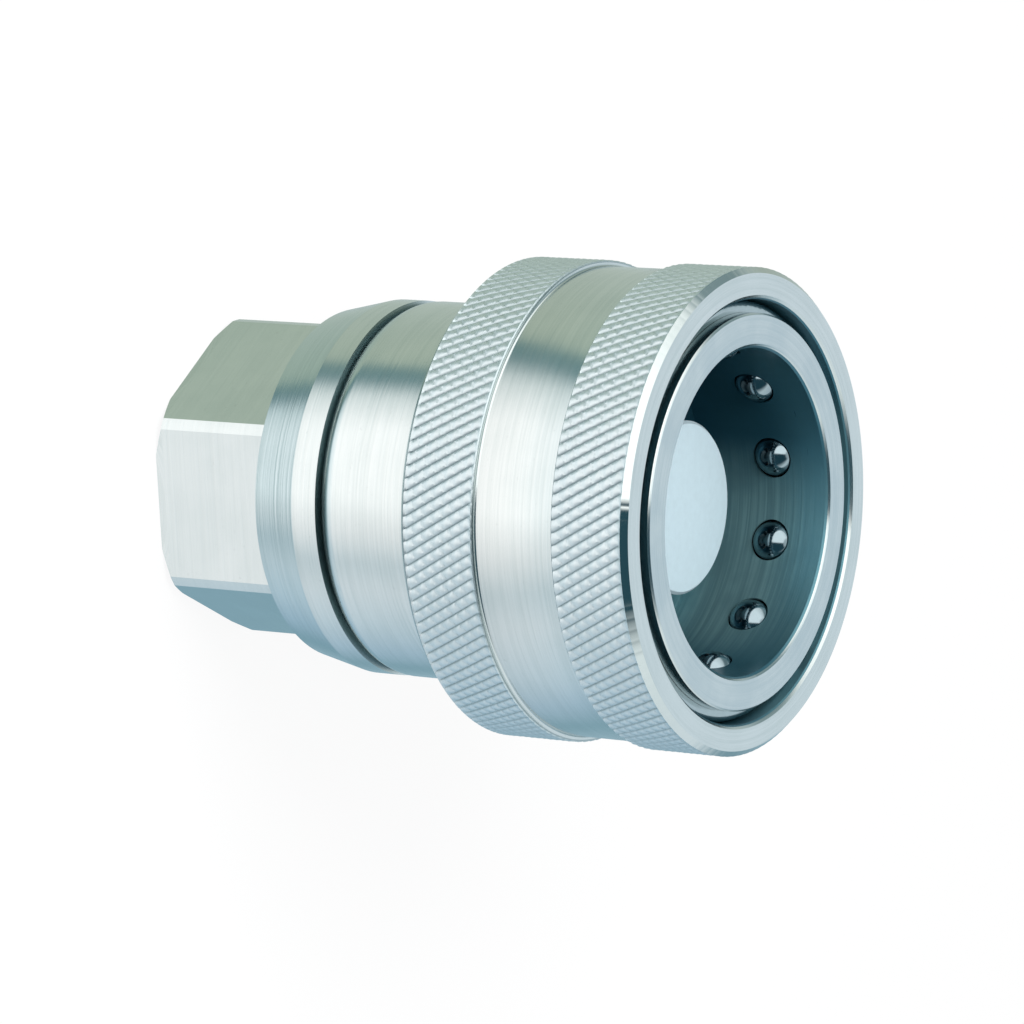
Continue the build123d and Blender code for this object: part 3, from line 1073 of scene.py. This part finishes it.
# What chamfers and the mouth's faces mirror from cards higher up.
UPPER_CARDS: Stops = (
    (0.00, (0.86, 0.94, 1.02)),
    (0.08, (0.76, 0.86, 0.92)),
    (0.12, (0.26, 0.36, 0.38)),
    (0.17, (0.30, 0.40, 0.42)),
    (0.21, (1.30, 1.34, 1.34)),
    (0.30, (1.80, 1.80, 1.80)),
    (0.485, (1.80, 1.80, 1.80)),
    (0.505, (0.03, 0.09, 0.12)),
    (0.66, (0.03, 0.09, 0.12)),
    (0.73, (1.10, 1.16, 1.18)),
    (0.82, (0.90, 0.98, 1.03)),
    (0.92, (0.84, 0.94, 1.02)),
)

# How the lower cards darken towards the ground and a little above it, by the ray's z plus 1.
LOW_SHADE: Stops = (
    (0.00, (0.12, 0.20, 0.22)),
    (0.08, (0.20, 0.30, 0.32)),
    (0.15, (0.76, 0.86, 0.90)),
    (0.48, (1.00, 1.00, 1.00)),
    (0.62, (0.92, 0.92, 0.92)),
    (1.00, (0.86, 0.86, 0.86)),
)


@dataclass(frozen=True)
class Lamp:
    """A soft square lamp, with its place, size and aim in metres and its power in watts."""

    name: str
    place: tuple[float, float, float]
    size: float
    power: float
    aim: tuple[float, float, float] = (0.0, 0.0, 0.03)

    def hang(self) -> None:
        """Hangs the lamp, which the metal doesn't mirror."""
        data = bpy.data.lights.new(self.name, "AREA")
        data.shape, data.size, data.energy = "SQUARE", self.size, self.power
        lamp = bpy.data.objects.new(self.name, data)
        lamp.location = self.place
        way = Vector(self.aim) - Vector(self.place)
        lamp.rotation_euler = way.to_track_quat("-Z", "Y").to_euler()
        lamp.visible_glossy = False
        bpy.context.scene.collection.objects.link(lamp)


@dataclass
class Studio:
    """Camera, floor, lamps and the surroundings that the metal mirrors.

    The camera's clip distances are in metres.
    """

    frame_px: int = 1024
    focal_px: float = 5570.25
    mouth_in_camera: tuple[float, float, float] = (24.205, 0.060, 566.97)
    axis_in_camera: tuple[float, float, float] = (0.8503033, 0.06448952, -0.52232691)
    axial_turn: float = 78.4
    length: float = 63.0
    sensor: float = 36.0
    clip: tuple[float, float] = (0.01, 50.0)
    camera_azimuth: float = -101.6
    floor_half: float = 3000.0
    floor_z: float = -0.05
    floor_grey: float = 0.85
    floor_glow: float = 0.88
    zenith_rise: Rise = (0.90, 0.97)
    zenith: Colour = (0.80, 0.86, 0.88)
    upper_rise: Rise = (-0.05, 0.25)
    room: Colour = (0.55, 0.56, 0.57)
    backdrop: Colour = (1.0, 1.0, 1.0)
    lamps: tuple[Lamp, ...] = (
        Lamp("key_lamp", (-0.24, -0.19, 0.42), 0.25, 2.0),
        Lamp("fill_lamp", (-0.05, -0.40, 0.30), 0.40, 0.9),
        Lamp("back_lamp", (0.15, 0.40, 0.35), 0.40, 0.7),
    )

    def axes(self) -> tuple[Matrix, Vector]:
        """The coupling's axes and origin as the camera sees them.

        The camera's own axes are x to the right, y down and z forward.

        Returns:
            The matrix whose columns are the coupling's axes, and its origin.
        """
        along = Vector(self.axis_in_camera).normalized()
        down = Vector((0, 1, 0))
        second = (down - along * down.dot(along)).normalized()
        first = along.cross(second)
        turn = math.radians(self.axial_turn)
        x_axis = first * math.cos(turn) + second * math.sin(turn)
        y_axis = along.cross(x_axis)
        turned = Matrix((x_axis, y_axis, along)).transposed()
        origin = Vector(self.mouth_in_camera) - along * self.length
        return turned, origin

    def camera(self) -> None:
        """Places the camera."""
        turned, origin = self.axes()
        back = turned.transposed()
        place = -(back @ origin) * MM
        right, down, forward = (back @ Vector(v) for v in ((1, 0, 0), (0, 1, 0), (0, 0, 1)))
        data = bpy.data.cameras.new("photo_camera")
        data.sensor_width = self.sensor
        data.lens = self.focal_px / self.frame_px * self.sensor
        data.clip_start, data.clip_end = self.clip
        camera = bpy.data.objects.new("photo_camera", data)
        world = Matrix((right, -down, -forward)).transposed().to_4x4()
        world.translation = place
        camera.matrix_world = world
        bpy.context.scene.collection.objects.link(camera)
        bpy.context.scene.camera = camera
        LOG.info("camera at %s", [round(c, 4) for c in place])

    def floor(self) -> None:
        """Lays the pale floor, which can't be seen from below."""
        half, top = self.floor_half * MM, self.floor_z * MM
        corners = [(-half, -half, top), (half, -half, top), (half, half, top), (-half, half, top)]
        mesh = bpy.data.meshes.new("floor")
        mesh.from_pydata(corners, [], [(0, 1, 2, 3)])
        floor = bpy.data.objects.new("floor", mesh)
        bpy.context.scene.collection.objects.link(floor)
        material, board = new_board("pale_floor")
        seen = board.node("ShaderNodeLightPath", output="Is Camera Ray")
        grey = (*(self.floor_grey,) * 3, 1)
        matte = board.node("ShaderNodeBsdfDiffuse", None, {"Color": grey})
        white = {"Color": (*self.backdrop, 1), "Strength": 1.0}
        glow = board.node("ShaderNodeEmission", None, white)
        share = seen * self.floor_glow
        both = board.node("ShaderNodeMixShader", None, {0: share, 1: matte, 2: glow})
        under = board.node("ShaderNodeNewGeometry", output="Backfacing")
        clear = board.node("ShaderNodeBsdfTransparent")
        shown = board.node("ShaderNodeMixShader", None, {0: under, 1: both, 2: clear})
        board.node("ShaderNodeOutputMaterial", None, {0: shown})
        dress(floor, material)
        floor.visible_glossy = False

    def world(self) -> None:
        """Paints the surroundings.

        What the metal mirrors is a ring of soft cards round the coupling: a white one
        behind the camera, a dark gap beside it, a grey one above it in the picture and
        a blue one below. The camera and all else see plain white or grey.
        """
        world = bpy.data.worlds.new("studio")
        world.use_nodes = True
        bpy.context.scene.world = world
        board = Board(world.node_tree)
        x, y, z = board.split(board.node("ShaderNodeTexCoord", output="Generated"))
        azimuth = board.maths("ARCTAN2", y, x) * (180 / math.pi)
        share = board.maths("FRACT", (azimuth + (180 - self.camera_azimuth)) / 360)
        lower = board.node("ShaderNodeValToRGB", {"stops": LOWER_CARDS}, {0: share})
        upper = board.node("ShaderNodeValToRGB", {"stops": UPPER_CARDS}, {0: share})
        upper = board.mix(board.step(z, *self.zenith_rise), upper, self.zenith)
        shade = board.node("ShaderNodeValToRGB", {"stops": LOW_SHADE}, {0: z + 1})
        lower = board.node("ShaderNodeVectorMath", {"operation": "MULTIPLY"}, {0: lower, 1: shade})
        mirrored = board.mix(board.step(z, *self.upper_rise), lower, upper)
        glossy = board.node("ShaderNodeLightPath", output="Is Glossy Ray")
        camera = board.node("ShaderNodeLightPath", output="Is Camera Ray")
        colour = board.mix(glossy, board.mix(camera, self.room, self.backdrop), mirrored)
        sky = board.node("ShaderNodeBackground", None, {"Color": colour, "Strength": 1.0})
        board.node("ShaderNodeOutputWorld", None, {0: sky})

    def build(self) -> None:
        """Sets up the whole studio."""
        self.camera()
        self.floor()
        self.world()
        for lamp in self.lamps:
            lamp.hang()
        bpy.context.scene.view_settings.view_transform = "Standard"


SPRINGS = (
    CoilSpring(
        name="sleeve_coil",
        node="sleeve_spring",
        body=Body.SPRING,
        joint="sleeve_slide",
        coil_r=21.5,
        wire=1.3,
        turns=4.5,
        low_z=38.5,
        high_z=51.5,
        travel=6.0,
    ),
    CoilSpring(
        name="valve_coil",
        node="valve_spring",
        body=Body.SOCKET,
        joint="poppet_slide",
        coil_r=5.5,
        wire=1.2,
        turns=4.0,
        low_z=25.5,
        high_z=37.058,
        travel=6.0,
    ),
)

SEALS = (
    RubberRing("joint_ring", "joint_o_ring", Body.SOCKET, ring_r=14.875, z=33.75, wire=1.31),
    RubberRing("nose_ring", "nose_seal", Body.SOCKET, ring_r=13.98, z=44.62, wire=2.4),
    RubberRing("cone_ring", "poppet_seal", Body.POPPET, ring_r=10.5, z=39.698, wire=1.6),
)


def main() -> None:
    logging.basicConfig(level=logging.INFO, format="%(message)s")
    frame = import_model()
    LockingSleeve().build()
    wire = PlainMetal("spring_wire", (0.45, 0.46, 0.47), 0.30).material()
    for spring in SPRINGS:
        spring.build(wire)
    rubber = SoftSolid("seal_rubber", (0.02, 0.02, 0.02), (0.035, 0.035, 0.035), 0.55).material()
    for seal in SEALS:
        seal.build(rubber)
    PortThread().build()
    Metalwork(frame).dress()
    Studio().build()


if __name__ == "__main__":
    main()
